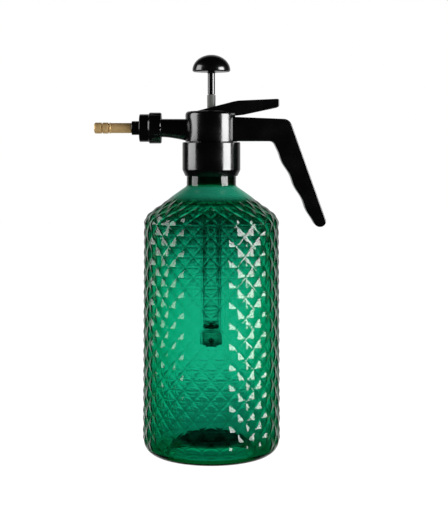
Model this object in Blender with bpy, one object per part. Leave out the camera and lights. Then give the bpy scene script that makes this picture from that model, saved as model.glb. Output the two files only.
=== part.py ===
"""A 1.5 litre hand pressure mister, modelled in metres with +Z up.

The origin is on the bottle's axis in the plane that the bottle stands on. The nozzle
points along -X and the grip hangs on the +X side. Every piece is a solid of its own.
"""
import math

import bmesh
import bpy
from mathutils import Matrix, Vector

MM = 0.001
GAP = 0.3 * MM                 # clearance kept between neighbouring pieces
ROUND = 40                     # sides of the large turned pieces
FINE = 24                      # sides of the small turned pieces

# Bottle, blown in green PET
BOTTLE_R = 55.2 * MM           # over the points of the diamonds, at the foot
WALL_TAPER = 1.2 * MM          # how much narrower the wall is at its top
WALL_TOP = 183.5 * MM          # height where the wall turns into the shoulder
SHOULDER_ROUND = 12.0 * MM
SHOULDER_SLOPE = math.radians(35.0)
NECK_FILLET = 2.5 * MM
NECK_LENGTH = 27.9 * MM        # from the neck's root up to the lip
BAND_LENGTH = 8.5 * MM         # plain band of the neck, below the thread
BASE_ROUND = 14.0 * MM
FOOT_WIDTH = 7.0 * MM          # flat ring that the bottle stands on
PUNT_RISE = 15.0 * MM          # push-up in the middle of the base
PET_WALL = 1.5 * MM
NECK_WALL = 2.0 * MM
DIAMONDS = 24                  # diamonds round the bottle
DIAMOND_HEIGHT = 15.7 * MM
DIAMOND_DEPTH = 1.4 * MM
FIRST_ROW = math.radians(7.0)  # lowest row of points, down round the base's corner
THREAD_DEPTH = 1.0 * MM
THREAD_PITCH = 4.5 * MM
THREAD_TURNS = 1.5

# Pump
ROD_R = 3.3 * MM
STEM_R = 2.9 * MM              # the knob's stem
CYLINDER_BORE = 6.4 * MM       # radius
CYLINDER_WALL = 1.2 * MM
CYLINDER_LENGTH = 162.2 * MM
STROKE = 110.0 * MM
ROD_SHOULDER_R = 5.2 * MM
ROD_ABOVE_HEAD = 13.0 * MM     # rod that shows over the head when it is pushed down
PISTON_LENGTH = 7.7 * MM
PISTON_FLOOR = 2.0 * MM        # under the rod's tail
KNOB_R = 15.0 * MM
KNOB_HEIGHT = 13.5 * MM
KNOB_STEM = 17.8 * MM
KNOB_RIM = 1.2 * MM            # straight edge under the dome
TAIL_R = 1.9 * MM              # thin ends of the rod, inside the knob and the piston
TAIL_LENGTH = 10.0 * MM

# Dip tube and valve
DIP_R = 2.5 * MM
DIP_WALL = 0.8 * MM
SEAT_WEB = 1.6 * MM            # wall between the cylinder's bore and the dip tube's
SEAT_RIM = 1.1 * MM            # wall outside the dip tube's bore
STRAINER_LENGTH = 13.0 * MM
STRAINER_CLEAR = 3.5 * MM      # from the strainer to the top of the base's push-up
VALVE_STEM_R = 0.9 * MM
VALVE_HEAD_R = 2.4 * MM
SPRING_LENGTH = 8.0 * MM
SPRING_WIRE = 0.6 * MM
SPRING_TURNS = 5

# Collar, seat and gasket, stacked on the lip
MOUTH_CLEAR = 0.4 * MM
THREAD_CLEAR = 0.35 * MM
GASKET = 1.4 * MM
FLANGE = 1.9 * MM
COLLAR_LIP = 1.3 * MM
COLLAR_WALL = 3.05 * MM
COLLAR_SKIRT = 21.0 * MM       # below the lip of the bottle
COLLAR_CHAMFER = 4.8 * MM
PLUG_LENGTH = 29.0 * MM
BOSS_HEIGHT = 6.6 * MM
BOSS_STEP = 1.3 * MM

# Head
HEAD_WALL = 2.8 * MM
HEAD_HEIGHT = 24.2 * MM
HEAD_EDGE = 3.0 * MM
PIN_INSET = 6.3 * MM           # the lever's pin behind the front of the head
SPOUT_R = 7.2 * MM
SPOUT_BORE = 1.5 * MM
SPOUT_RISE = 10.9 * MM         # spout axis above the underside of the head
SPOUT_REACH = 18.4 * MM        # from the head's wall to the nozzle nut
SPIGOT = 12.0 * MM             # stub of the spout inside the nut
SLOT_FLOOR = 15.4 * MM         # floor of the lever's slot above the underside
LEVER_WIDTH = 16.4 * MM
ARM_WIDTH = 24.0 * MM
ARM_DEPTH = 19.8 * MM
ARM_DROP = 2.0 * MM           # fall of the arm's top towards the grip
ARM_BEND = 7.0 * MM
ARM_LIFT = 0.4 * MM            # underside of the arm above that of the head
ARM_REACH = 61.6 * MM
GRIP_LENGTH = 67.0 * MM        # below the arm
GRIP_LEAN = 0.352              # sideways run of the grip's back, for each unit down
GRIP_TAPER = 0.152             # extra run of its finger side
GRIP_DEPTH = 19.8 * MM         # front to back at the arm
FINGER_PITCH = 19.0 * MM
FINGER_PHASE = 4.04            # radians, at the underside of the head
FINGER_DEPTH = 0.6 * MM
GRIP_EDGE = 2.0 * MM           # rounding along the rims of the arm and the grip
TIP_ROUND = 4.4 * MM           # at both corners of the grip's end

# Nozzle
NUT_R = 12.3 * MM
NUT_LENGTH = 17.5 * MM
NUT_FRONT = 2.1 * MM
WASHER = 1.2 * MM
ADAPTER_FLANGE = 1.8 * MM
ADAPTER_R = 5.5 * MM
ADAPTER_NECK = 6.2 * MM        # ahead of the nut
SLEEVE_R = 4.0 * MM
SLEEVE_LENGTH = 29.3 * MM
CORE_R = 2.4 * MM

# Radii that follow from the bores
CYLINDER_R = CYLINDER_BORE + CYLINDER_WALL
DIP_BORE = DIP_R + GAP
DIP_X = CYLINDER_R + GAP + SEAT_WEB + DIP_BORE
PLUG_R = DIP_X + DIP_BORE + SEAT_RIM
MOUTH_R = PLUG_R + MOUTH_CLEAR
FINISH_R = MOUTH_R + NECK_WALL
BAND_R = FINISH_R + THREAD_DEPTH
COLLAR_BORE = BAND_R + THREAD_CLEAR
COLLAR_R = COLLAR_BORE + COLLAR_WALL
BOSS_R = PLUG_R + BOSS_STEP
HEAD_R = BOSS_R + GAP + HEAD_WALL
CAP_R = CYLINDER_R + 1.7 * MM

# Heights of the bottle, then of what is stacked on it
SHOULDER_R = BOTTLE_R - WALL_TAPER
BEND = 1.0 - math.sin(SHOULDER_SLOPE)       # of a fillet's radius, taken sideways
CONE_TOP_R = BAND_R + NECK_FILLET * BEND
CONE_FOOT_R = SHOULDER_R - SHOULDER_ROUND * BEND
CONE_FOOT = WALL_TOP + SHOULDER_ROUND * math.cos(SHOULDER_SLOPE)
CONE_TOP = CONE_FOOT + (CONE_FOOT_R - CONE_TOP_R) * math.tan(SHOULDER_SLOPE)
NECK_ROOT = CONE_TOP + NECK_FILLET * math.cos(SHOULDER_SLOPE)
LIP = NECK_ROOT + NECK_LENGTH
FLANGE_BASE = LIP + GAP + GASKET + GAP
FLANGE_TOP = FLANGE_BASE + FLANGE
COLLAR_TOP = FLANGE_TOP + GAP + COLLAR_LIP
HEAD_BASE = COLLAR_TOP + GAP
HEAD_TOP = HEAD_BASE + HEAD_HEIGHT
BOSS_TOP = FLANGE_TOP + BOSS_HEIGHT
SOCKET_TOP = BOSS_TOP + GAP
PLUG_BASE = FLANGE_BASE - PLUG_LENGTH
SLOT_Z = HEAD_BASE + SLOT_FLOOR
SPOUT_Z = HEAD_BASE + SPOUT_RISE
CYLINDER_TOP = BOSS_TOP - 1.3 * MM
CYLINDER_BASE = CYLINDER_TOP - CYLINDER_LENGTH
PISTON_BASE = CYLINDER_BASE + 7.3 * MM
PISTON_TOP = PISTON_BASE + PISTON_LENGTH
CAP_BASE = CYLINDER_TOP - 5.7 * MM          # underside of the gland, inside the cylinder
CAP_TOP = SLOT_Z - 2.2 * MM
ROD_TOP = HEAD_TOP + ROD_ABOVE_HEAD
VALVE_SEAT = BOSS_TOP - 4.2 * MM            # roof of the valve's chamber
DIP_TOP = VALVE_SEAT - 11.3 * MM

# Lever: its pin, and its outline in the XZ plane measured from the pin
PIN_X = -(HEAD_R - PIN_INSET)
PIN_Z = SLOT_Z + 5.1 * MM
PIN_R = 1.3 * MM
PIN_BORE = PIN_R + GAP
NOSE_R = 3.0 * MM
LEVER_REACH = 67.8 * MM
LEVER_KNEE = 34.3 * MM         # where the top flattens towards the thumb
LEVER_CREST = 11.9 * MM
LEVER_END = 13.4 * MM
LEVER_TIP = 6.4 * MM           # thickness at the free end
LEVER_SLOPE = 0.10             # rise of the underside, for each unit along
LEVER_WAIST = 39.8 * MM        # where the underside steepens, past the head

# Nozzle stations along X, from the head outwards
NUT_BACK = -(HEAD_R + SPOUT_REACH + 0.5 * MM)
NUT_FACE = NUT_BACK - NUT_LENGTH
SPIGOT_END = NUT_BACK - SPIGOT + 0.5 * MM
FLANGE_FACE = NUT_FACE + NUT_FRONT + GAP
WASHER_BACK = SPIGOT_END - GAP
ADAPTER_END = NUT_FACE - ADAPTER_NECK
SLEEVE_BACK = ADAPTER_END - GAP
SLEEVE_TIP = SLEEVE_BACK - SLEEVE_LENGTH

# Finish of each material: colour (linear), roughness, metallic
GREEN_PET = ((0.002, 0.32, 0.16, 1.0), 0.10, 0.0)
BLACK_GLOSS = ((0.006, 0.006, 0.007, 1.0), 0.16, 0.0)
NATURAL = ((0.68, 0.70, 0.66, 1.0), 0.35, 0.0)
BRASS = ((0.38, 0.22, 0.09, 1.0), 0.30, 1.0)
STEEL = ((0.55, 0.56, 0.58, 1.0), 0.25, 1.0)
RUBBER = ((0.02, 0.02, 0.02, 1.0), 0.70, 0.0)

AXIS_X = Matrix.Rotation(-math.pi / 2, 4, "Y")      # turns +Z to -X


def clear_scene():
    """Remove what the file already holds."""
    for obj in list(bpy.data.objects):
        bpy.data.objects.remove(obj, do_unlink=True)


def finish_with(obj, finish):
    """Give the object a Principled material of its own."""
    colour, roughness, metallic = finish
    material = bpy.data.materials.new(obj.name)
    material.use_nodes = True
    shader = material.node_tree.nodes["Principled BSDF"]
    shader.inputs["Base Color"].default_value = colour
    shader.inputs["Roughness"].default_value = roughness
    shader.inputs["Metallic"].default_value = metallic
    obj.data.materials.append(material)


def new_object(name, bm, finish=None, smooth=True):
    """Turn a bmesh into an object with outward faces."""
    bmesh.ops.recalc_face_normals(bm, faces=bm.faces)
    mesh = bpy.data.meshes.new(name)
    bm.to_mesh(mesh)
    bm.free()
    if smooth:
        mesh.shade_smooth()
        mesh.set_sharp_from_angle(angle=math.radians(35))
    obj = bpy.data.objects.new(name, mesh)
    bpy.context.scene.collection.objects.link(obj)
    if finish:
        finish_with(obj, finish)
    return obj


def turned(name, outline, finish=None, sides=FINE, origin=(0, 0, 0), turn=None):
    """Spin an outline of (radius, height) points about an axis through the origin.

    Heights run along +Z, or along -X where turn is AXIS_X.
    """
    bm = bmesh.new()
    ring = [bm.verts.new((r, 0, h)) for r, h in outline]
    edges = []
    for a, b in zip(ring, ring[1:] + ring[:1]):
        if a.co.x > 0 or b.co.x > 0:
            edges.append(bm.edges.new((a, b)))
    bmesh.ops.spin(bm, geom=ring + edges, cent=(0, 0, 0), axis=(0, 0, 1),
                   angle=2 * math.pi, steps=sides, use_merge=True)
    bmesh.ops.remove_doubles(bm, verts=bm.verts, dist=0.001 * MM)
    if turn:
        bmesh.ops.transform(bm, matrix=turn, verts=bm.verts)
    obj = new_object(name, bm, finish)
    obj.location = origin
    return obj


def tube(inner, outer, low, high):
    """Outline of a plain ring or tube."""
    return [(inner, low), (outer, low), (outer, high), (inner, high)]


def rod(radius, low, high):
    """Outline of a plain solid rod."""
    return [(0, low), (radius, low), (radius, high), (0, high)]


def lofted(name, rings, finish=None):
    """Skin a row of rings with equal numbers of points, and cap both ends."""
    bm = bmesh.new()
    rows = [[bm.verts.new(p) for p in ring] for ring in rings]
    for low, high in zip(rows, rows[1:]):
        for i in range(len(low)):
            j = (i + 1) % len(low)
            bm.faces.new((low[i], low[j], high[j], high[i]))
    bm.faces.new(list(reversed(rows[0])))
    bm.faces.new(rows[-1])
    return new_object(name, bm, finish, smooth=False)


def plate(name, outline, width, finish=None, origin=(0, 0, 0)):
    """Extrude an outline of (x, z) points by a width centred on the XZ plane."""
    rings = [[(x, y, z) for x, z in outline] for y in (-width / 2, width / 2)]
    obj = lofted(name, rings, finish)
    obj.location = origin
    return obj


def rounded(corners, steps=4):
    """Outline through (x, z, radius) corners, each rounded by an arc of its radius."""
    points = []
    count = len(corners)
    for i, (x, z, radius) in enumerate(corners):
        here = Vector((x, z))
        if radius == 0:
            points.append(here[:])
            continue
        before = (Vector(corners[i - 1][:2]) - here).normalized()
        after = (Vector(corners[(i + 1) % count][:2]) - here).normalized()
        half = before.angle(after) / 2
        centre = here + (before + after).normalized() * (radius / math.sin(half))
        start = here + before * (radius / math.tan(half)) - centre
        sweep = start.angle_signed(here + after * (radius / math.tan(half)) - centre)
        for k in range(steps + 1):
            arm = start.copy()
            arm.rotate(Matrix.Rotation(-sweep * k / steps, 2))
            points.append((centre + arm)[:])
    return points


def modify(obj, other, operation):
    """Join a body to the object or cut it away, and set the other body aside."""
    boolean = obj.modifiers.new(other.name, "BOOLEAN")
    boolean.operation = operation
    boolean.object = other
    boolean.solver = "EXACT"
    other.hide_render = True
    other.display_type = "WIRE"


def bevel(obj, width, segments=2):
    """Round the object's sharp edges."""
    modifier = obj.modifiers.new("edges", "BEVEL")
    modifier.width = width
    modifier.segments = segments
    modifier.limit_method = "ANGLE"
    modifier.angle_limit = math.radians(50)


def arc(centre, radius, start, end, steps):
    """Points (radius, height) of an arc between two angles in degrees."""
    angles = [math.radians(start + (end - start) * k / steps) for k in range(steps + 1)]
    return [(centre[0] + radius * math.cos(a), centre[1] + radius * math.sin(a))
            for a in angles]


def resampled(points, pitch):
    """Points every pitch along a polyline, from its first point."""
    found = [points[0]]
    left = pitch
    for a, b in zip(points, points[1:]):
        run = math.dist(a, b)
        done = 0.0
        while run - done >= left:
            done += left
            t = done / run
            found.append((a[0] + (b[0] - a[0]) * t, a[1] + (b[1] - a[1]) * t))
            left = pitch
        left -= run - done
    return found


# ---------------------------------------------------------------- bottle
def wall_outline():
    """Outer wall and shoulder as (radius, height), from the base round to the fillet."""
    slope = math.degrees(SHOULDER_SLOPE)
    shoulder = arc((SHOULDER_R - SHOULDER_ROUND, WALL_TOP), SHOULDER_ROUND, 0, 90 - slope, 6)
    corner = arc((BOTTLE_R - BASE_ROUND, BASE_ROUND), BASE_ROUND,
                 -math.degrees(FIRST_ROW), 0, 2)
    return corner + shoulder + [(CONE_TOP_R, CONE_TOP)]


def bottle_rings():
    """Rings (radius, height, relief) of the bottle, from the punt round to the inside."""
    foot_out = BOTTLE_R - BASE_ROUND
    foot_in = foot_out - FOOT_WIDTH
    base = [(foot_in * math.cos(math.radians(a)), PUNT_RISE * math.sin(math.radians(a)))
            for a in (60, 30, 0)]
    corner = arc((foot_out, BASE_ROUND), BASE_ROUND, -90, -39, 3)
    half = DIAMOND_HEIGHT / 2
    rows = resampled(wall_outline(), half)
    plain_r = CONE_TOP_R + 1.2 * half
    relief = [row for row in rows if row[0] > plain_r]
    fillet = arc((BAND_R + NECK_FILLET, NECK_ROOT), NECK_FILLET,
                 270 - math.degrees(SHOULDER_SLOPE), 180, 2)
    band_top = NECK_ROOT + BAND_LENGTH
    neck = [(BAND_R, band_top), (FINISH_R, band_top + THREAD_DEPTH), (FINISH_R, LIP)]
    rings = [(r, z, 0) for r, z in base + corner]
    rings += [(r, z, 1 + n % 2) for n, (r, z) in enumerate(relief)]
    rings += [(r, z, 0) for r, z in fillet + neck]
    inner = PET_WALL + DIAMOND_DEPTH
    floor = PUNT_RISE + PET_WALL
    cone_in = CONE_TOP + inner * 0.25
    inside = [(MOUTH_R, LIP), (MOUTH_R, cone_in),
              (CONE_FOOT_R - inner, CONE_FOOT - inner * 0.4),
              (SHOULDER_R - inner, WALL_TOP - inner),
              (BOTTLE_R - inner, BASE_ROUND + PET_WALL),
              (foot_out + 0.55 * BASE_ROUND, PET_WALL + 0.22 * BASE_ROUND),
              (foot_out, 1.2 * PET_WALL),
              (foot_in, 1.2 * PET_WALL)]
    inside += [(foot_in * math.cos(math.radians(a)) * 0.97,
                PET_WALL + PUNT_RISE * math.sin(math.radians(a))) for a in (30, 60)]
    return rings + [(r, z, 0) for r, z in inside], PUNT_RISE, floor


def make_bottle():
    """Blown bottle: a waffle of pyramids outside, plain neck, thread and pushed-up base.

    Odd points of a relief ring sit lower than even ones, and the next ring swaps them,
    so that four of the low points stand round each high one.
    """
    rings, punt, floor = bottle_rings()
    sides = 2 * DIAMONDS
    bm = bmesh.new()
    rows = []
    for radius, height, relief in rings:
        row = []
        for i in range(sides):
            low = relief and (i + relief) % 2 == 0
            r = radius - (DIAMOND_DEPTH if low else 0)
            a = 2 * math.pi * i / sides - math.pi / 2
            row.append(bm.verts.new((r * math.cos(a), r * math.sin(a), height)))
        rows.append(row)
    for n, (low, high) in enumerate(zip(rows, rows[1:])):
        relief = rings[n][2] and rings[n + 1][2]
        for i in range(sides):
            j = (i + 1) % sides
            quad = [low[i], low[j], high[j], high[i]]
            if relief and (i + rings[n][2]) % 2 == 1:
                quad = quad[1:] + quad[:1]
            bm.faces.new((quad[0], quad[1], quad[2]))
            bm.faces.new((quad[0], quad[2], quad[3]))
    for row, height in ((rows[0], punt), (rows[-1], floor)):
        centre = bm.verts.new((0, 0, height))
        for i in range(sides):
            bm.faces.new((row[i], row[(i + 1) % sides], centre))
    bottle = new_object("bottle", bm, GREEN_PET)
    modify(bottle, make_thread(), "UNION")


def make_thread():
    """Helical ridge of triangular section round the finish of the neck."""
    rise = THREAD_PITCH * THREAD_TURNS
    low = LIP - 3.0 * MM - rise
    half = 0.9 * MM
    section = [(-0.4 * MM, -half), (THREAD_DEPTH * 0.95, 0), (-0.4 * MM, half)]
    steps = int(THREAD_TURNS * FINE)
    rings = []
    for k in range(steps + 1):
        a = 2 * math.pi * THREAD_TURNS * k / steps
        rings.append([((FINISH_R + out) * math.cos(a), (FINISH_R + out) * math.sin(a),
                       low + rise * k / steps + up) for out, up in section])
    return lofted("thread", rings)


def wire(name, path, radius, finish=None):
    """Round wire along a list of points, with closed ends."""
    curve = bpy.data.curves.new(name, "CURVE")
    curve.dimensions = "3D"
    curve.bevel_depth = radius
    curve.bevel_resolution = 0
    curve.use_fill_caps = True
    spline = curve.splines.new("POLY")
    spline.points.add(len(path) - 1)
    for point, place in zip(spline.points, path):
        point.co = (*place, 1)
    obj = bpy.data.objects.new(name, curve)
    bpy.context.scene.collection.objects.link(obj)
    if finish:
        finish_with(obj, finish)
    return obj


# ---------------------------------------------------------------- closure
def make_gasket():
    """Flat rubber ring between the bottle's lip and the pump seat."""
    low = LIP + GAP
    turned("neck_gasket", tube(MOUTH_R + GAP, BAND_R - GAP, low, low + GASKET),
           RUBBER, ROUND)


def make_collar():
    """Screw collar; its top lip holds the seat's flange down on the gasket."""
    base = LIP - COLLAR_SKIRT - GAP
    edge = 0.75 * MM
    outline = [(COLLAR_BORE, base), (COLLAR_BORE + edge, base),
               (COLLAR_R, base + COLLAR_CHAMFER), (COLLAR_R, COLLAR_TOP - edge),
               (COLLAR_R - edge, COLLAR_TOP), (BOSS_R + MOUTH_CLEAR, COLLAR_TOP),
               (BOSS_R + MOUTH_CLEAR, FLANGE_TOP + GAP), (COLLAR_BORE, FLANGE_TOP + GAP)]
    turned("collar", outline, BLACK_GLOSS, ROUND)


def make_pump_seat():
    """Black plug in the neck that carries the pump cylinder, dip tube and valve seat."""
    well = CAP_R + GAP
    well_z = CYLINDER_TOP - 1.6 * MM - GAP
    bore = CYLINDER_R + GAP
    outline = [(bore, PLUG_BASE), (PLUG_R, PLUG_BASE), (PLUG_R, FLANGE_BASE),
               (BAND_R - GAP, FLANGE_BASE), (BAND_R - GAP, FLANGE_TOP),
               (BOSS_R, FLANGE_TOP), (BOSS_R, BOSS_TOP), (well, BOSS_TOP),
               (well, well_z), (bore, well_z)]
    seat = turned("pump_seat", outline, BLACK_GLOSS, ROUND)
    side = (DIP_X, 0, 0)
    passage = VALVE_STEM_R + 0.8 * MM
    chamber = turned("seat_chamber", [(0, PLUG_BASE - MM), (DIP_BORE, PLUG_BASE - MM),
                                      (DIP_BORE, VALVE_SEAT), (passage, VALVE_SEAT),
                                      (passage, BOSS_TOP + MM), (0, BOSS_TOP + MM)],
                     origin=side)
    modify(seat, chamber, "DIFFERENCE")


# ---------------------------------------------------------------- pump
def make_cylinder():
    """Long translucent pump tube that hangs in the bottle by its flange."""
    rim = CYLINDER_TOP - 1.6 * MM
    outline = [(CYLINDER_BORE, CYLINDER_BASE), (CYLINDER_R, CYLINDER_BASE),
               (CYLINDER_R, rim), (CAP_R, rim), (CAP_R, CYLINDER_TOP),
               (CYLINDER_BORE, CYLINDER_TOP)]
    turned("pump_cylinder", outline, NATURAL)


def make_cylinder_cap():
    """Gland pressed in the cylinder's mouth; it guides the rod and stops its shoulder."""
    bore = ROD_R + GAP
    plug = CYLINDER_BORE - GAP
    step = CYLINDER_TOP + GAP
    turned("cylinder_cap", [(bore, CAP_BASE), (plug, CAP_BASE), (plug, step),
                            (CAP_R, step), (CAP_R, CAP_TOP), (bore, CAP_TOP)], BLACK_GLOSS)


def make_pump_rod():
    """Natural plastic rod with a thicker stop shoulder above the piston."""
    low = PISTON_TOP + GAP
    shoulder = CAP_BASE - STROKE - GAP
    outline = [(0, PISTON_BASE + PISTON_FLOOR), (TAIL_R, PISTON_BASE + PISTON_FLOOR),
               (TAIL_R, low),
               (ROD_SHOULDER_R, low), (ROD_SHOULDER_R, shoulder), (ROD_R, shoulder),
               (ROD_R, ROD_TOP), (TAIL_R, ROD_TOP), (TAIL_R, ROD_TOP + TAIL_LENGTH),
               (0, ROD_TOP + TAIL_LENGTH)]
    turned("pump_rod", outline, NATURAL)


def make_piston():
    """Black piston on the rod's lower end, with a groove for its seal."""
    body = CYLINDER_BORE - 0.6 * MM
    bore = TAIL_R + GAP
    groove = body - 1.5 * MM
    low = PISTON_BASE + 2.6 * MM
    high = low + 3.0 * MM
    outline = [(0, PISTON_BASE), (body, PISTON_BASE), (body, low), (groove, low),
               (groove, high), (body, high), (body, PISTON_TOP), (bore, PISTON_TOP),
               (bore, PISTON_BASE + PISTON_FLOOR - GAP), (0, PISTON_BASE + PISTON_FLOOR - GAP)]
    turned("piston", outline, BLACK_GLOSS)
    inner = groove + GAP
    turned("piston_seal", tube(inner, CYLINDER_BORE - GAP, low + GAP, high - GAP), RUBBER)


def make_pump_knob():
    """Mushroom knob and its stem, pressed on the rod's upper end."""
    low = ROD_TOP + GAP
    rim = low + KNOB_STEM
    socket = TAIL_R + GAP
    roof = ROD_TOP + TAIL_LENGTH + 2 * GAP
    top = rim + KNOB_HEIGHT
    brim = rim + KNOB_RIM
    dome = []
    for k in range(9):
        a = math.radians(90 * k / 9)
        dome.append((KNOB_R * math.cos(a), brim + (top - brim) * math.sin(a)))
    outline = [(STEM_R, low), (STEM_R, rim), (KNOB_R - 1.2 * MM, rim)] + dome
    outline += [(0, top), (0, roof), (socket, roof), (socket, low)]
    turned("pump_knob", outline, BLACK_GLOSS, ROUND)


def make_foot_valve():
    """Black shoe on the cylinder's end, and the rubber umbrella that lets air out."""
    wide = CYLINDER_R + 1.2 * MM
    seat = CYLINDER_R + GAP
    floor = CYLINDER_BASE - GAP
    base = floor - 2.6 * MM
    hole = 1.5 * MM
    outline = [(hole, base), (wide - 1.0 * MM, base), (wide, base + 1.0 * MM),
               (wide, CYLINDER_BASE + 7.0 * MM), (seat, CYLINDER_BASE + 7.0 * MM),
               (seat, floor), (hole, floor)]
    shoe = turned("foot_valve_body", outline, BLACK_GLOSS)
    for k in range(4):
        a = math.pi * k / 2 + math.pi / FINE
        port = turned(f"air_port_{k}", rod(0.9 * MM, base - MM, floor + MM), sides=8,
                      origin=(3.9 * MM * math.cos(a), 3.9 * MM * math.sin(a), 0))
        modify(shoe, port, "DIFFERENCE")
    shaft = hole - GAP
    turned("foot_valve_flap", [(0, base - 1.4 * MM), (5.4 * MM, base - 1.0 * MM),
                               (5.4 * MM, base - GAP), (shaft, base - GAP),
                               (shaft, floor + GAP), (shaft + 0.9 * MM, floor + GAP),
                               (shaft, floor + 2.2 * MM), (0, floor + 2.2 * MM)], RUBBER, 16)


# ---------------------------------------------------------------- liquid path
def make_dip_tube():
    """Straight tube beside the pump, and the strainer on its lower end."""
    tip = PUNT_RISE + PET_WALL + STRAINER_CLEAR
    stop = tip + STRAINER_LENGTH / 2
    side = (DIP_X, 0, 0)
    turned("dip_tube", tube(DIP_R - DIP_WALL, DIP_R, stop + GAP, DIP_TOP), NATURAL, 12,
           origin=side)
    skin = DIP_BORE + 0.5 * MM
    throat = DIP_R - DIP_WALL
    strainer = turned("dip_tube_strainer", [(throat, tip), (skin, tip),
                                            (skin, tip + STRAINER_LENGTH),
                                            (DIP_BORE, tip + STRAINER_LENGTH),
                                            (DIP_BORE, stop), (throat, stop)],
                      BLACK_GLOSS, 16, origin=side)
    for k in range(2):
        slit = plate(f"strainer_slit_{k}",
                     [(-skin * 1.2, tip - MM), (skin * 1.2, tip - MM),
                      (skin * 1.2, stop - 1.5 * MM), (-skin * 1.2, stop - 1.5 * MM)],
                     0.9 * MM, origin=side)
        slit.rotation_euler = (0, 0, math.pi * (k / 2 + 0.25))
        modify(strainer, slit, "DIFFERENCE")


def make_valve():
    """Spray valve: a push stem with a poppet, its seal, its spring and a top O-ring."""
    side = (DIP_X, 0, 0)
    button = lever_underside(DIP_X) - GAP
    seal = VALVE_SEAT - GAP
    face = seal - 1.0 * MM - GAP
    head = 1.2 * MM
    guide = DIP_TOP + GAP + 4.5 * MM
    outline = [(0, guide), (0.9 * MM, guide), (0.9 * MM, face - head),
               (VALVE_HEAD_R, face - head), (VALVE_HEAD_R, face), (VALVE_STEM_R, face),
               (VALVE_STEM_R, button - 1.2 * MM), (2.4 * MM, button - 1.2 * MM),
               (2.4 * MM, button), (0, button)]
    turned("valve_stem", outline, BRASS, 12, origin=side)
    turned("valve_seal", tube(VALVE_STEM_R + GAP, VALVE_HEAD_R, seal - 1.0 * MM, seal),
           RUBBER, 12, origin=side)
    ring = VALVE_STEM_R + GAP
    turned("stem_o_ring", tube(ring, ring + 1.6 * MM, SLOT_Z - 1.9 * MM, SLOT_Z - 0.5 * MM),
           RUBBER, 16, origin=side)
    low = DIP_TOP + GAP + SPRING_WIRE / 2
    high = low + SPRING_LENGTH - SPRING_WIRE - GAP
    coil = DIP_BORE - GAP - 0.2 * MM - SPRING_WIRE / 2
    steps = SPRING_TURNS * 10
    path = []
    for k in range(steps + 1):
        a = 2 * math.pi * SPRING_TURNS * k / steps
        path.append((DIP_X + coil * math.cos(a), coil * math.sin(a),
                     low + (high - low) * k / steps))
    wire("valve_spring", path, SPRING_WIRE / 2, STEEL)


# ---------------------------------------------------------------- head
def grip_outline():
    """Outline of the arm and the grip, with the finger waves on the inner side."""
    top = HEAD_BASE + ARM_DEPTH
    tip = HEAD_BASE - GRIP_LENGTH
    back = ARM_REACH + GRIP_LEAN * (top - tip)
    inner_top = ARM_REACH + GRIP_LEAN * ARM_DEPTH - GRIP_DEPTH
    run = GRIP_LEAN + GRIP_TAPER
    inner_tip = inner_top + run * (HEAD_BASE - tip)
    start = HEAD_R / 2
    under = HEAD_BASE + ARM_LIFT
    outline = rounded([(start, top, 0), (ARM_REACH, top - ARM_DROP, ARM_BEND),
                       (back, tip, TIP_ROUND), (inner_tip, tip, TIP_ROUND),
                       (inner_top, under, 0), (start, under, 0)])
    waves = []
    low = tip + 7.0 * MM
    high = HEAD_BASE - 7.0 * MM
    count = 20
    for k in range(count + 1):
        z = low + (high - low) * k / count
        phase = 2 * math.pi * (HEAD_BASE - z) / FINGER_PITCH + FINGER_PHASE
        x = inner_top + run * (HEAD_BASE - z) - FINGER_DEPTH * (1 - math.cos(phase))
        waves.append((x, z))
    bend = rounded([waves[-1] + (0,), (inner_top, under, 4.5 * MM), (start, under, 0)])
    return outline[:-2] + waves + bend[1:]


def make_head_housing():
    """Head, spout, arm and grip in one black moulding, cored out for what it holds."""
    edge = arc((HEAD_R - HEAD_EDGE, HEAD_TOP - HEAD_EDGE), HEAD_EDGE, 0, 90, 4)
    head = turned("head_housing", [(0, HEAD_BASE), (HEAD_R, HEAD_BASE)] + edge
                  + [(0, HEAD_TOP)], BLACK_GLOSS, ROUND)
    sides = FINE
    spout_top = SPOUT_Z + SPOUT_R
    root = (spout_top + HEAD_BASE + 0.2 * MM) / 2
    stations = [(SPIGOT_END, SPOUT_R, SPOUT_R, SPOUT_Z),
                (NUT_BACK, SPOUT_R, SPOUT_R, SPOUT_Z),
                (-HEAD_R + HEAD_WALL, SPOUT_R * 1.2, spout_top - root, root)]
    rings = []
    for x, half_y, half_z, z in stations:
        angles = [2 * math.pi * k / sides for k in range(sides)]
        rings.append([(x, half_y * math.cos(a), z + half_z * math.sin(a)) for a in angles])
    modify(head, lofted("spout", rings), "UNION")
    grip = plate("grip", grip_outline(), ARM_WIDTH)
    bevel(grip, GRIP_EDGE)
    modify(head, grip, "UNION")
    for cutter in head_cutters():
        modify(head, cutter, "DIFFERENCE")


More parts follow.
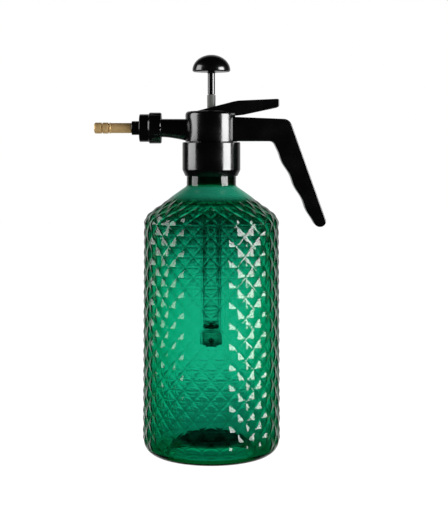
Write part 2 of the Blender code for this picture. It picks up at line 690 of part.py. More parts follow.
def head_cutters():
    """Bodies that core out the head, from the bottom up."""
    well = CAP_R + GAP
    gallery = well + 1.3 * MM
    roof = SPOUT_Z + SPOUT_BORE + 0.6 * MM
    yield turned("head_socket", rod(BOSS_R + GAP, HEAD_BASE - MM, SOCKET_TOP), sides=ROUND)
    yield turned("cap_well", rod(well, SOCKET_TOP - MM, CAP_TOP + GAP))
    yield turned("gallery", tube(gallery, gallery + 3.0 * MM, SOCKET_TOP - MM, roof))
    yield turned("rod_hole", rod(ROD_R + GAP, CAP_TOP - MM, HEAD_TOP + MM), sides=16)
    passage = -(gallery + 1.5 * MM)
    yield turned("spout_bore", rod(SPOUT_BORE, -passage, -SPIGOT_END + MM), sides=12,
                 origin=(0, 0, SPOUT_Z), turn=AXIS_X)
    slot = LEVER_WIDTH + 2 * GAP
    front = PIN_X - NOSE_R - GAP
    rear = PIN_X + LEVER_REACH + 1.5 * MM
    high = HEAD_TOP + 5 * MM
    yield plate("lever_slot", [(front, SLOT_Z), (rear, SLOT_Z), (rear, high), (front, high)],
                slot)
    groove = VALVE_STEM_R + GAP + 1.6 * MM + GAP
    pocket = SLOT_Z - 1.9 * MM - GAP
    hole = VALVE_STEM_R + GAP
    yield turned("stem_hole", [(0, roof - MM), (hole, roof - MM), (hole, pocket),
                               (groove, pocket), (groove, SLOT_Z + MM), (0, SLOT_Z + MM)],
                 sides=16, origin=(DIP_X, 0, 0))
    blind = LEVER_WIDTH / 2 + 3.0 * MM
    pin_hole = turned("pin_hole", rod(PIN_BORE, -HEAD_R, blind + GAP), sides=16,
                      turn=Matrix.Rotation(math.pi / 2, 4, "X"))
    pin_hole.location = (PIN_X, 0, PIN_Z)
    yield pin_hole


def lever_underside(x):
    """Height of the lever's underside at a place along X, inside the head."""
    return PIN_Z - NOSE_R + LEVER_SLOPE * (x - PIN_X)


def make_trigger_lever():
    """Thumb lever: a wedge-shaped shell that turns on the front pin."""
    waist = lever_underside(PIN_X + LEVER_WAIST) - PIN_Z
    nose_turn = math.degrees(math.atan(LEVER_SLOPE))
    outline = [(LEVER_KNEE, LEVER_CREST), (LEVER_REACH, LEVER_END),
               (LEVER_REACH, LEVER_END - LEVER_TIP + 0.8 * MM),
               (LEVER_REACH - 1.0 * MM, LEVER_END - LEVER_TIP),
               (LEVER_WAIST, waist)]
    outline += arc((0, 0), NOSE_R, -90 + nose_turn, -250, 8)
    lever = plate("trigger_lever", outline, LEVER_WIDTH, BLACK_GLOSS, (PIN_X, 0, PIN_Z))
    bevel(lever, 0.5 * MM, 1)
    modify(lever, turned("lever_pin_bore", rod(PIN_BORE, -LEVER_WIDTH, LEVER_WIDTH),
                         sides=16, origin=(PIN_X, 0, PIN_Z),
                         turn=Matrix.Rotation(math.pi / 2, 4, "X")), "DIFFERENCE")
    half = ROD_R + 1.3 * MM
    window = rounded([(-half, SLOT_Z, 0), (half, SLOT_Z, 0), (half, ROD_TOP, 0),
                      (-half, ROD_TOP, 0)])
    modify(lever, plate("rod_window", window, 2 * half), "DIFFERENCE")
    wall = 1.8 * MM
    near = DIP_X + 5.0 * MM - PIN_X
    far = LEVER_REACH - wall
    roof = [LEVER_CREST - wall + (near - LEVER_KNEE) * 0.2, LEVER_CREST - wall,
            LEVER_END - wall]
    hollow = [(near, -NOSE_R), (far, -NOSE_R), (far, roof[2]), (LEVER_KNEE, roof[1]),
              (near, min(roof[0], roof[1]))]
    modify(lever, plate("lever_hollow", hollow, LEVER_WIDTH - 2 * wall,
                        origin=(PIN_X, 0, PIN_Z)), "DIFFERENCE")


def make_trigger_pin():
    """Steel pin pressed in from the far side, so its end is hidden at the front."""
    near = LEVER_WIDTH / 2 + 3.0 * MM
    far = math.sqrt(HEAD_R ** 2 - (PIN_X - PIN_R) ** 2) - 0.8 * MM
    turned("trigger_pin", rod(PIN_R, -far, near), STEEL, 16, (PIN_X, 0, PIN_Z),
           Matrix.Rotation(math.pi / 2, 4, "X"))


# ---------------------------------------------------------------- nozzle
def make_nozzle_nut():
    """Stepped and ribbed nut that holds the nozzle's adapter on the spout."""
    bore = SPOUT_R + 2 * GAP
    front = NUT_R - 1.3 * MM
    step = NUT_LENGTH * 0.53
    face = NUT_LENGTH - NUT_FRONT
    outline = [(bore, 0), (NUT_R - 1.2 * MM, 0), (NUT_R, 1.2 * MM), (NUT_R, step),
               (front, step + 1.0 * MM), (front, NUT_LENGTH - 0.8 * MM),
               (front - 0.8 * MM, NUT_LENGTH), (ADAPTER_R + GAP, NUT_LENGTH),
               (ADAPTER_R + GAP, face), (bore, face)]
    nut = turned("nozzle_nut", outline, BLACK_GLOSS, 36, (NUT_BACK, 0, SPOUT_Z), AXIS_X)
    ribs = 12
    for k in range(ribs):
        a = 2 * math.pi * k / ribs
        flute = turned(f"nut_flute_{k}", rod(1.1 * MM, -MM, step - 1.0 * MM), sides=6,
                       turn=AXIS_X)
        out = NUT_R + 0.35 * MM
        flute.location = (NUT_BACK, out * math.cos(a), SPOUT_Z + out * math.sin(a))
        modify(nut, flute, "DIFFERENCE")


def make_nozzle():
    """Washer, adapter, brass core with its O-ring, and the turning brass sleeve."""
    end = (0, 0, SPOUT_Z)
    back = -WASHER_BACK
    bore = CORE_R + GAP
    turned("nozzle_washer", tube(1.6 * MM, SPOUT_R - 0.4 * MM, back, back + WASHER), RUBBER,
           origin=end, turn=AXIS_X)
    flange = -FLANGE_FACE
    outer = SPOUT_R + GAP
    lip = -ADAPTER_END
    turned("nozzle_adapter", [(bore, flange - ADAPTER_FLANGE), (outer, flange - ADAPTER_FLANGE),
                              (outer, flange), (ADAPTER_R, flange), (ADAPTER_R, lip - 0.6 * MM),
                              (ADAPTER_R - 0.6 * MM, lip), (bore, lip)], BLACK_GLOSS,
           origin=end, turn=AXIS_X)
    hole = 0.8 * MM
    root = flange - ADAPTER_FLANGE
    tip = -SLEEVE_TIP
    ring = -SLEEVE_BACK + 6.0 * MM
    floor = CORE_R - 0.9 * MM
    width = 1.8 * MM
    cone = tip - 6.0 * MM
    turned("nozzle_core", [(hole, root), (CORE_R, root), (CORE_R, ring), (floor, ring),
                           (floor, ring + width), (CORE_R, ring + width), (CORE_R, cone),
                           (0, tip - 2.6 * MM), (0, cone - 3.0 * MM), (hole, cone - 3.0 * MM)],
           BRASS, 16, end, AXIS_X)
    seal = CORE_R + 0.3 * MM
    turned("nozzle_o_ring", tube(floor + GAP, seal, ring + GAP, ring + width - GAP), RUBBER,
           16, end, AXIS_X)
    groove = 0.5 * MM
    wide = SLEEVE_R + 0.35 * MM
    inside = CORE_R + 2 * GAP
    start = -SLEEVE_BACK
    head = tip - 13.0 * MM
    outline = [(inside, start), (SLEEVE_R, start), (SLEEVE_R, head), (wide, head + groove)]
    for station in (tip - 11.6 * MM, tip - 6.2 * MM):
        outline += [(wide, station - groove), (SLEEVE_R - groove, station),
                    (wide, station + groove)]
    outline += [(wide, tip - 1.0 * MM), (SLEEVE_R - 0.6 * MM, tip), (1.9 * MM, tip),
                (0.7 * MM, tip - 0.9 * MM), (0.7 * MM, tip - 1.6 * MM),
                (inside, cone + 0.8 * MM)]
    turned("nozzle_sleeve", outline, BRASS, FINE, end, AXIS_X)


def build():
    """Make every piece."""
    clear_scene()
    make_bottle()
    make_gasket()
    make_collar()
    make_pump_seat()
    make_cylinder()
    make_cylinder_cap()
    make_pump_rod()
    make_piston()
    make_pump_knob()
    make_foot_valve()
    make_dip_tube()
    make_valve()
    make_head_housing()
    make_trigger_lever()
    make_trigger_pin()
    make_nozzle_nut()
    make_nozzle()


build()
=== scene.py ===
"""Hand pressure mister: its blown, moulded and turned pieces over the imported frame.

Lengths are in metres with +Z up. The nozzle points along -X and the camera looks along +Y.
"""
import math

import bmesh
import bpy
import numpy as np
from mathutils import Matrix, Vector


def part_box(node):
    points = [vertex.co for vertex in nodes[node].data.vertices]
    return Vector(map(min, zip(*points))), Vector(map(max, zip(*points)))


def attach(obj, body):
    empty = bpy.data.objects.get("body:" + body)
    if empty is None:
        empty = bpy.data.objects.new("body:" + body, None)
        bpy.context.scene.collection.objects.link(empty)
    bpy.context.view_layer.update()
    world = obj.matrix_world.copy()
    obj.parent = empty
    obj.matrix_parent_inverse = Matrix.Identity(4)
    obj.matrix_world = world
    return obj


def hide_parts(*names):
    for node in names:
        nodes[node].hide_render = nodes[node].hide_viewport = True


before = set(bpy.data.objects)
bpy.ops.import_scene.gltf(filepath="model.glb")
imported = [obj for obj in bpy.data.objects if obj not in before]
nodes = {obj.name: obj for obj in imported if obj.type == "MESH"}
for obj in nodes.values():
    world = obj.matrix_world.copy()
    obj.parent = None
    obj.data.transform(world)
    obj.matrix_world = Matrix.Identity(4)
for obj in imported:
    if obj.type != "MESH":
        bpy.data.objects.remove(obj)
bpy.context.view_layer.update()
MM = 0.001

# ---------------------------------------------------------------- camera
# A short telephoto a metre away, level with the neck, tipped and shifted a little down.
camera = bpy.data.objects.new("camera", bpy.data.cameras.new("camera"))
bpy.context.scene.collection.objects.link(camera)
camera.data.lens = 85.5
camera.data.sensor_width = 36.0
camera.data.shift_y = -0.13
camera.location = (0.010, -1.0, 0.245)
camera.rotation_euler = (math.radians(90.0 - 2.25), 0.0, 0.0)
bpy.context.scene.camera = camera


# ---------------------------------------------------------------- bottle
# Blown in clear green PET: a waffle of pyramids on the wall and the shoulder, a plain
# band under the thread, and a push-up in the base. The inner face follows the mould more
# softly, and the material is thickest round the gate in the middle of the base.
def linear(code):
    """Linear colour of an sRGB hex code: ((c + 0.055) / 1.055) ** 2.4, or c / 12.92 near black."""
    channels = [int(code[i:i + 2], 16) / 255 for i in (1, 3, 5)]
    return (*(c / 12.92 if c < 0.04045 else ((c + 0.055) / 1.055) ** 2.4 for c in channels), 1.0)


def add(tree, kind, values=None, links=None, **settings):
    """Add a shader node, with its settings, input values and the sockets linked to it."""
    node = tree.nodes.new(kind)
    for key, value in settings.items():
        setattr(node, key, value)
    for key, value in (values or {}).items():
        node.inputs[key].default_value = value
    for key, socket in (links or {}).items():
        tree.links.new(socket, node.inputs[key])
    return node


def new_material(name):
    """An empty node material and its tree."""
    material = bpy.data.materials.new(name)
    material.use_nodes = True
    material.node_tree.nodes.clear()
    return material, material.node_tree


def pieced(name, points, faces, body, slot, material, stands_for=(), angle=35.0):
    """A closed mesh that rides on a body: ends on the axis are merged and faces turned outward."""
    mesh = bpy.data.meshes.new(name)
    mesh.from_pydata(points.tolist(), [], faces.tolist())
    bm = bmesh.new()
    bm.from_mesh(mesh)
    bmesh.ops.remove_doubles(bm, verts=bm.verts, dist=1e-6)
    bmesh.ops.recalc_face_normals(bm, faces=bm.faces)
    bm.to_mesh(mesh)
    bm.free()
    piece = bpy.data.objects.new(name, mesh)
    bpy.context.scene.collection.objects.link(piece)
    if body:
        settled(piece, body, material, stands_for, angle)
    return piece


def settled(piece, body, material, stands_for, angle=35.0):
    """Shade the piece, give it its material, tie it to its body, and hide the nodes it stands for."""
    piece.data.materials.clear()
    piece.data.materials.append(material)
    piece.data.shade_smooth()
    piece.data.set_sharp_from_angle(angle=math.radians(angle))
    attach(piece, body)
    if stands_for:
        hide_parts(*stands_for)


def rounded(corners, closed=True, steps=6):
    """Outline through (x, y, radius) corners; an arc tangent to both sides rounds each corner."""
    places = [np.array(corner[:2], float) for corner in corners]
    points = []
    for i, corner in enumerate(corners):
        if len(corner) < 3 or corner[2] == 0 or (not closed and i in (0, len(corners) - 1)):
            points.append(places[i])
            continue
        back = places[i - 1] - places[i]
        on = places[(i + 1) % len(corners)] - places[i]
        back, on = back / np.linalg.norm(back), on / np.linalg.norm(on)
        half = math.acos(np.clip(back @ on, -1, 1)) / 2
        middle = (back + on) / np.linalg.norm(back + on)
        centre = places[i] + middle * corner[2] / math.sin(half)
        start = places[i] + back * corner[2] / math.tan(half) - centre
        end = places[i] + on * corner[2] / math.tan(half) - centre
        sweep = math.atan2(start[0] * end[1] - start[1] * end[0], start @ end)
        turn = math.atan2(start[1], start[0]) + sweep * np.linspace(0, 1, steps + 1)
        points.extend(centre + corner[2] * np.stack([np.cos(turn), np.sin(turn)], 1))
    return np.array(points)


def grid_faces(rows, columns, loop_rows=False):
    """Quads of a grid whose columns close on themselves, and its rows too where loop_rows."""
    count = rows if loop_rows else rows - 1
    r, c = np.meshgrid(np.arange(count), np.arange(columns), indexing="ij")
    r, c = r.ravel(), c.ravel()
    up, on = (r + 1) % rows, (c + 1) % columns
    return np.stack([r * columns + c, r * columns + on, up * columns + on, up * columns + c], 1)


def triangle_wave(x, crisp):
    """Distance from x to the nearest whole number, as acos(crisp cos(2 pi x)) / 2 pi."""
    return np.arccos(crisp * np.cos(2 * np.pi * x)) / (2 * np.pi)


def waffle(rows, columns, crisp):
    """Height 0 to 1 of pyramids: 1 - 2 max(p, q), with p and q the distances along the diagonals."""
    p = triangle_wave((rows + columns) / 2, crisp)
    q = triangle_wave((rows - columns) / 2, crisp)
    soft = 0.02
    return 1 - (p + q + np.sqrt((p - q) ** 2 + soft ** 2))


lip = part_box("bottle")[1].z / MM
wall_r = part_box("bottle")[1].x / MM
HALF_ROW, DEPTH, PET = 7.85, 1.4, 1.5             # relief rows, relief depth and wall, in mm
RELIEF_ROWS, ROUND = 27, 48                       # half diamonds along the skin and round it
FINE = 5                                          # samples along each half diamond
COLUMNS = ROUND * FINE
PUSH_R, PUSH_UP, GATE = 34.2, 15.0, 4.5           # push-up's radius and height, wall at the gate
FOOT_IN, FOOT_OUT = 35.4, 38.3                    # flat ring that the bottle stands on
CORNER, RELIEF_FROM = 14.0, -39.0                 # base corner's radius, and where relief starts
WALL_TOP, BEND, BEND_BACK, CONE = 183.5, 12.0, 13.2, 55.0  # shoulder bend and how far it turns
FILLET_R, FILLET_AT = 2.5, (22.1, 215.135)        # fillet between the cone and the neck
NECK_R, NECK_IN, FINISH_R = 19.6, 16.6, 18.6      # plain neck, its bore, and under the thread
THREAD_FROM, NECK_FROM = 225.0, 216.0             # heights where the thread and the neck start
PITCH, THREAD_TURNS, THREAD_RISE = 4.5, 1.5, 0.98


def arc(centre_r, centre_z, radius, first, last, count):
    """Points (centre_r + radius cos a, centre_z + radius sin a) for count angles in degrees."""
    return [(centre_r + radius * math.cos(a), centre_z + radius * math.sin(a))
            for a in np.radians(np.linspace(first, last, count))]


base = [(PUSH_R * math.cos(a), PUSH_UP * math.sin(a)) for a in np.radians(np.linspace(90, 8, 14))]
base += [(PUSH_R + 0.4, 0.25), (FOOT_IN, 0.0), (FOOT_OUT, 0.0)]
base += arc(wall_r - CORNER, CORNER, CORNER, -90, RELIEF_FROM, 8)
cone_end = arc(*FILLET_AT, FILLET_R, 180 + CONE, 180 + CONE, 1)
skin = arc(wall_r - CORNER, CORNER, CORNER, RELIEF_FROM, 0, 24)
skin += arc(wall_r - BEND_BACK, WALL_TOP, BEND, 0, CONE, 40) + cone_end
skin = np.array(skin)
run = np.concatenate([[0], np.cumsum(np.linalg.norm(np.diff(skin, axis=0), axis=1))])
first_row = run[23] * 32 / 39                     # the first whole row sits 32 of the arc's 39 degrees up
along = np.arange(0, RELIEF_ROWS * FINE + 1) / FINE - 1.0
reach = along * HALF_ROW + first_row
skin_r, skin_z = np.interp(reach, run, skin[:, 0]), np.interp(reach, run, skin[:, 1])
fall = math.tan(math.radians(90 - CONE))
tail = [(r, cone_end[0][1] - (r - cone_end[0][0]) * fall) for r in (28.0, 25.0, 22.6)]
fillet = arc(*FILLET_AT, FILLET_R, 180 + CONE, 180, 7)
neck = [(NECK_R, 217.5), (NECK_R, 220.0), (NECK_R, 223.2), (NECK_R - 0.2, 223.9), (19.0, 224.4)]
finish = [(FINISH_R, z) for z in np.arange(THREAD_FROM, lip - 2.2, 0.4)]
mouth = [(FINISH_R, lip - 1.4), (18.5, lip - 0.5), (18.2, lip - 0.1), (17.6, lip)]
outline = np.array(base + list(zip(skin_r, skin_z)) + tail + fillet + neck + finish + mouth)
rows_at = np.full(len(outline), np.nan)
rows_at[len(base):len(base) + len(along)] = along
# The wall by height, and then by radius inside the foot ring, where the gate is thickest.
thick = np.interp(outline[:, 1], [0, 3, 15, 200, 213, 216, 223.5, 225],
                  [2.2, 1.8, PET, PET, PET, 3.0, 3.0, 2.0])
pole = outline[:, 0] < FOOT_IN + 0.6
thick[pole] = np.interp(outline[pole, 0], [0, 8, 30, 36], [GATE, 3.6, 2.4, 2.2])
tangent = np.gradient(outline, axis=0)
normal = np.stack([tangent[:, 1], -tangent[:, 0]], 1)
normal /= np.linalg.norm(normal, axis=1)[:, None]
theta = 2 * np.pi * np.arange(COLUMNS) / COLUMNS - np.pi / 2
cell = np.arange(COLUMNS) / FINE
fade = np.clip(rows_at + 1.0, 0, 1) * np.clip(RELIEF_ROWS - 1 - rows_at, 0, 1)
fade *= np.clip(outline[:, 0] / 44.0, 0.75, 1)    # the relief is shallower where it crowds
fade = np.nan_to_num(fade)[:, None]
level = np.nan_to_num(rows_at)[:, None]
sunk = DEPTH * fade * (1 - waffle(level, cell[None, :], 0.995))
thread_top = lip - 3.0
thread_low = thread_top - THREAD_TURNS * PITCH
turns = (outline[:, 1, None] - thread_low) / PITCH - cell[None, :] / ROUND
# A place's distance, in mm of height, to the nearer pass of the thread makes its ridge.
passes = np.stack([np.abs(turns - k) for k in (0, 1)]).min(0) * PITCH
ends = np.clip(np.minimum(outline[:, 1, None] - thread_low, thread_top + 0.8 - outline[:, 1, None]), 0, 1)
ridge = np.clip(1.15 - passes, 0, 1.0) * ends * (outline[:, 1, None] > 224.6)
outer_r = outline[:, 0, None] - normal[:, 0, None] * sunk + THREAD_RISE * ridge
outer_z = outline[:, 1, None] - normal[:, 1, None] * sunk
inner_r = outline[:, 0, None] - normal[:, 0, None] * (thick[:, None] + sunk)
inner_z = outline[:, 1, None] - normal[:, 1, None] * (thick[:, None] + sunk)
above = outline[:, 1] > NECK_FROM
inner_r[above], inner_z[above] = NECK_IN, outline[above, 1, None]
inner_r[0], inner_z[0] = 0, PUSH_UP + GATE
outer_r[0] = 0
kept = np.flatnonzero(~np.isnan(rows_at) | (np.arange(len(outline)) % 3 == 0))
rim = np.full((1, COLUMNS), 17.2), np.full((1, COLUMNS), lip)
ring_r = np.concatenate([outer_r, rim[0], inner_r[kept[::-1]]])
ring_z = np.concatenate([outer_z, rim[1], inner_z[kept[::-1]]])
points = np.stack([ring_r * np.cos(theta), ring_r * np.sin(theta), ring_z], 2).reshape(-1, 3) * MM
quads = grid_faces(len(ring_r), COLUMNS)
row_of, column_of = quads[:, 0] // COLUMNS, quads[:, 0] % COLUMNS
seen_rows = np.concatenate([np.arange(len(outline)), [len(outline)], kept[::-1] - 1])[row_of]
lattice = np.floor((seen_rows - len(base)) / FINE).astype(int) + column_of // FINE
other_way = lattice % 2 == 0                      # quads are split along the diamonds' own edges
quads[other_way] = np.roll(quads[other_way], 1, axis=1)
faces = np.concatenate([quads[:, [0, 1, 2]], quads[:, [0, 2, 3]]])

pet, tree = new_material("green_pet")
# Blown PET: clear and glossy. Inner and outer face run side by side, so the wall hardly
# bends what shows through it, and its IOR is low; a coat at IOR 1.6 carries the facets'
# shine. The green lies in the wall and deepens where that is seen on edge. Round the gate in
# the middle of the base the colour is painted nearly black and the coat fades: a painted
# shade for the dark floor seen through the thick push-up. The plain band under the neck is
# a little milky.
place = add(tree, "ShaderNodeTexCoord").outputs["Object"]
ripple = add(tree, "ShaderNodeTexNoise", {"Scale": 90.0, "Detail": 2.0}, {"Vector": place})
gloss = add(tree, "ShaderNodeMapRange", {"To Min": 0.015, "To Max": 0.06}, {"Value": ripple.outputs["Fac"]})
bump = add(tree, "ShaderNodeBump", {"Strength": 0.012, "Distance": 0.0003},
           {"Height": ripple.outputs["Fac"]})
height = add(tree, "ShaderNodeSeparateXYZ", None, {"Vector": place}).outputs["Z"]
flat = add(tree, "ShaderNodeVectorMath", {1: (1.0, 1.0, 0.0)}, {0: place}, operation="MULTIPLY")
radius = add(tree, "ShaderNodeVectorMath", None, {0: flat.outputs[0]}, operation="LENGTH").outputs["Value"]
# Painted shade: inside this radius and under this height the base colour turns nearly black and the coat
# fades, standing for the dark floor seen through the thick push-up.
base_shade_reach = add(tree, "ShaderNodeMapRange", {"From Min": 0.0280, "From Max": 0.0250}, {"Value": radius})
under = add(tree, "ShaderNodeMapRange", {"From Min": 0.0225, "From Max": 0.0205}, {"Value": height})
painted_base_shade = add(tree, "ShaderNodeMath", None, {0: base_shade_reach.outputs[0], 1: under.outputs[0]}, operation="MULTIPLY")
tint_and_painted_base_shade = add(tree, "ShaderNodeMix", {6: (0.96, 1.0, 0.98, 1.0), 7: (0.0005, 0.002, 0.001, 1.0)},
            {0: painted_base_shade.outputs[0]}, data_type="RGBA")
coat = add(tree, "ShaderNodeMapRange", {"To Min": 0.7, "To Max": 0.03}, {"Value": painted_base_shade.outputs[0]})
clear = add(tree, "ShaderNodeBsdfPrincipled",
            {"Transmission Weight": 1.0, "IOR": 1.13, "Coat IOR": 1.6, "Coat Roughness": 0.09},
            {"Roughness": gloss.outputs["Result"], "Normal": bump.outputs["Normal"],
             "Base Color": tint_and_painted_base_shade.outputs[2], "Coat Weight": coat.outputs["Result"]})
rise = add(tree, "ShaderNodeMapRange", {"From Min": 0.2015, "From Max": 0.2080, "To Max": 0.42},
           {"Value": height}, interpolation_type="SMOOTHSTEP")
drop = add(tree, "ShaderNodeMapRange", {"From Min": 0.2150, "From Max": 0.2125},
           {"Value": height}, interpolation_type="SMOOTHSTEP")
band = add(tree, "ShaderNodeMath", None, {0: rise.outputs[0], 1: drop.outputs[0]}, operation="MULTIPLY")
milk = add(tree, "ShaderNodeBsdfDiffuse", {"Color": linear("#35c8a0")})
skin_of = add(tree, "ShaderNodeMixShader", None,
              {0: band.outputs[0], 1: clear.outputs["BSDF"], 2: milk.outputs[0]})
dye = add(tree, "ShaderNodeVolumeAbsorption", {"Color": (0.0, 0.867, 0.735, 1.0), "Density": 1500.0})
add(tree, "ShaderNodeOutputMaterial", None,
    {"Surface": skin_of.outputs[0], "Volume": dye.outputs["Volume"]})
bottle = pieced("bottle_blown", points, faces, "bottle", "green_pet", pet, ["bottle"], 10.0)
bm = bmesh.new()
bm.from_mesh(bottle.data)
for edge in bm.edges:                             # ridges stay crisp, valleys run out softly
    if not edge.smooth and edge.calc_face_angle_signed(0.0) < 0:
        edge.smooth = True
bm.to_mesh(bottle.data)
bm.free()


# ---------------------------------------------------------------- pump tube, rod and knob
# The tube and the rod are extruded and moulded in natural polypropylene, which is milky;
# the knob is moulded in black, a mushroom on a slim stem.
def spun(corners, sides=96, along_x=False, centre=(0.0, 0.0), steps=6, closed=False):
    """Points and quads of (radius, height) corners in mm turned about Z, or about -X.

    centre is the axis's place: x and y for Z, and y and z for -X. A profile that leaves
    the axis and comes back to it is open; a ring's profile is closed.
    """
    outline = rounded(corners, closed, steps)
    turn = 2 * np.pi * np.arange(sides) / sides
    r, h = outline[:, 0, None] * MM, outline[:, 1, None] * MM + 0 * turn
    if along_x:
        stack = [-h, centre[0] + r * np.sin(turn), centre[1] + r * np.cos(turn)]
    else:
        stack = [centre[0] + r * np.cos(turn), centre[1] + r * np.sin(turn), h]
    return np.stack(stack, 2).reshape(-1, 3), grid_faces(len(outline), sides, closed)


natural, tree = new_material("natural_polypropylene")
# Natural PP: milky and slightly grey where it is handled, satin from the mould, and nearly
# clear lower down, where the rod is always wet.
place = add(tree, "ShaderNodeTexCoord").outputs["Object"]
cloud = add(tree, "ShaderNodeTexNoise", {"Scale": 140.0, "Detail": 3.0}, {"Vector": place})
tone = add(tree, "ShaderNodeMix", {6: linear("#8a8d88"), 7: linear("#a3a6a0")},
           {0: cloud.outputs["Fac"]}, data_type="RGBA")
grain = add(tree, "ShaderNodeTexNoise", {"Scale": 900.0, "Detail": 2.0}, {"Vector": place})
satin = add(tree, "ShaderNodeMapRange", {"To Min": 0.28, "To Max": 0.42}, {"Value": cloud.outputs["Fac"]})
bump = add(tree, "ShaderNodeBump", {"Strength": 0.15, "Distance": 0.0001}, {"Height": grain.outputs["Fac"]})
milky = add(tree, "ShaderNodeBsdfPrincipled", {"IOR": 1.3, "Transmission Weight": 0.72},
            {"Base Color": tone.outputs[2], "Roughness": satin.outputs["Result"],
             "Normal": bump.outputs["Normal"]})
wet = add(tree, "ShaderNodeBsdfPrincipled", {"Base Color": linear("#fafcfa"), "IOR": 1.05,
                                             "Transmission Weight": 1.0, "Roughness": 0.08})
height = add(tree, "ShaderNodeSeparateXYZ", None, {"Vector": place}).outputs["Z"]
dry = add(tree, "ShaderNodeMapRange", {"From Min": 0.236, "From Max": 0.262}, {"Value": height})
rod = add(tree, "ShaderNodeMixShader", None,
          {0: dry.outputs["Result"], 1: wet.outputs["BSDF"], 2: milky.outputs["BSDF"]})
add(tree, "ShaderNodeOutputMaterial", None, {"Surface": rod.outputs[0]})

clear_pp, tree = new_material("clear_polypropylene")
# The extruded tubes are the same polymer drawn thin: almost clear, with a soft haze.
place = add(tree, "ShaderNodeTexCoord").outputs["Object"]
cloud = add(tree, "ShaderNodeTexNoise", {"Scale": 160.0, "Detail": 3.0}, {"Vector": place})
tone = add(tree, "ShaderNodeMix", {6: linear("#f7fbf8"), 7: linear("#ffffff")},
           {0: cloud.outputs["Fac"]}, data_type="RGBA")
satin = add(tree, "ShaderNodeMapRange", {"To Min": 0.04, "To Max": 0.10}, {"Value": cloud.outputs["Fac"]})
thin = add(tree, "ShaderNodeBsdfPrincipled", {"IOR": 1.05, "Transmission Weight": 1.0},
           {"Base Color": tone.outputs[2], "Roughness": satin.outputs["Result"]})
add(tree, "ShaderNodeOutputMaterial", None, {"Surface": thin.outputs["BSDF"]})

smoke, tree = new_material("smoked_polypropylene")
# The shoe of the pump is the same polymer with a little grey in it.
place = add(tree, "ShaderNodeTexCoord").outputs["Object"]
cloud = add(tree, "ShaderNodeTexNoise", {"Scale": 160.0, "Detail": 3.0}, {"Vector": place})
tone = add(tree, "ShaderNodeMix", {6: linear("#c9cec9"), 7: linear("#d6dbd6")},
           {0: cloud.outputs["Fac"]}, data_type="RGBA")
dull = add(tree, "ShaderNodeBsdfPrincipled", {"IOR": 1.1, "Transmission Weight": 1.0, "Roughness": 0.12},
           {"Base Color": tone.outputs[2]})
add(tree, "ShaderNodeOutputMaterial", None, {"Surface": dull.outputs["BSDF"]})

black, tree = new_material("black_gloss")
# Black ABS from a polished mould: deep black and glossy, IOR 1.53, with the slight
# unevenness in its gloss that handling leaves and an orange peel too shallow to see alone.
place = add(tree, "ShaderNodeTexCoord").outputs["Object"]
haze = add(tree, "ShaderNodeTexNoise", {"Scale": 60.0, "Detail": 4.0}, {"Vector": place})
peel = add(tree, "ShaderNodeTexNoise", {"Scale": 420.0, "Detail": 2.0}, {"Vector": place})
tone = add(tree, "ShaderNodeMix", {6: linear("#020203"), 7: linear("#060607")},
           {0: haze.outputs["Fac"]}, data_type="RGBA")
gloss = add(tree, "ShaderNodeMapRange", {"From Min": 0.3, "From Max": 0.7, "To Min": 0.12, "To Max": 0.24},
            {"Value": haze.outputs["Fac"]})
bump = add(tree, "ShaderNodeBump", {"Strength": 0.1, "Distance": 0.0002}, {"Height": peel.outputs["Fac"]})
shell = add(tree, "ShaderNodeBsdfPrincipled", {"IOR": 1.53, "Specular IOR Level": 0.95},
            {"Base Color": tone.outputs[2], "Roughness": gloss.outputs["Result"],
             "Normal": bump.outputs["Normal"]})
add(tree, "ShaderNodeOutputMaterial", None, {"Surface": shell.outputs["BSDF"]})

low, high = (corner.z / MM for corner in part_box("pump_cylinder"))
TUBE_BORE, TUBE_R, COLLET_R, COLLET = 6.4, 7.6, 9.3, 1.6
tube = [(TUBE_BORE, low, 0.3), (TUBE_R, low, 0.3), (TUBE_R, high - COLLET, 0.3),
        (COLLET_R, high - COLLET, 0.3), (COLLET_R, high, 0.3), (TUBE_BORE, high, 0.3)]
pieced("pump_tube", *spun(tube, closed=True, steps=3), "head", "natural_plastic", clear_pp,
       ["pump_cylinder"])

low, high = (corner.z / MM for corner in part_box("pump_rod"))
TAIL_R, FOOT, STOP_R, STOP_TOP, ROD_R, TAIL = 1.9, 6.0, 5.2, 136.235, 3.3, 10.0
shaft = [(0, low), (TAIL_R, low, 0.3), (TAIL_R, low + FOOT), (STOP_R, low + FOOT, 0.4),
         (STOP_R, STOP_TOP, 0.8), (ROD_R, STOP_TOP, 0.4), (ROD_R, high - TAIL, 0.5),
         (TAIL_R, high - TAIL), (TAIL_R, high, 0.4), (0, high)]
pieced("pump_shaft", *spun(shaft, 64, steps=4), "pump", "natural_plastic", natural, ["pump_rod"])

low, high = (corner.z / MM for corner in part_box("pump_knob"))
KNOB_R, STEM_R, SOCKET_R, SOCKET, STEM, BRIM = 15.0, 2.9, 2.2, 10.3, 17.8, 1.2
rim, brim = low + STEM, low + STEM + BRIM
dome = [(KNOB_R * math.cos(a), brim + (high - brim) * math.sin(a))
        for a in np.radians(np.linspace(0, 90, 28))]
mushroom = [(0, low + SOCKET), (SOCKET_R, low + SOCKET), (SOCKET_R, low, 0.2), (STEM_R, low, 0.3),
            (STEM_R, rim, 1.6), (KNOB_R - 1.0, rim, 0.5), (KNOB_R, rim + 0.9, 0.4)] + dome
pieced("pump_mushroom", *spun(mushroom, 128), "pump", "black_plastic", black, ["pump_knob"])


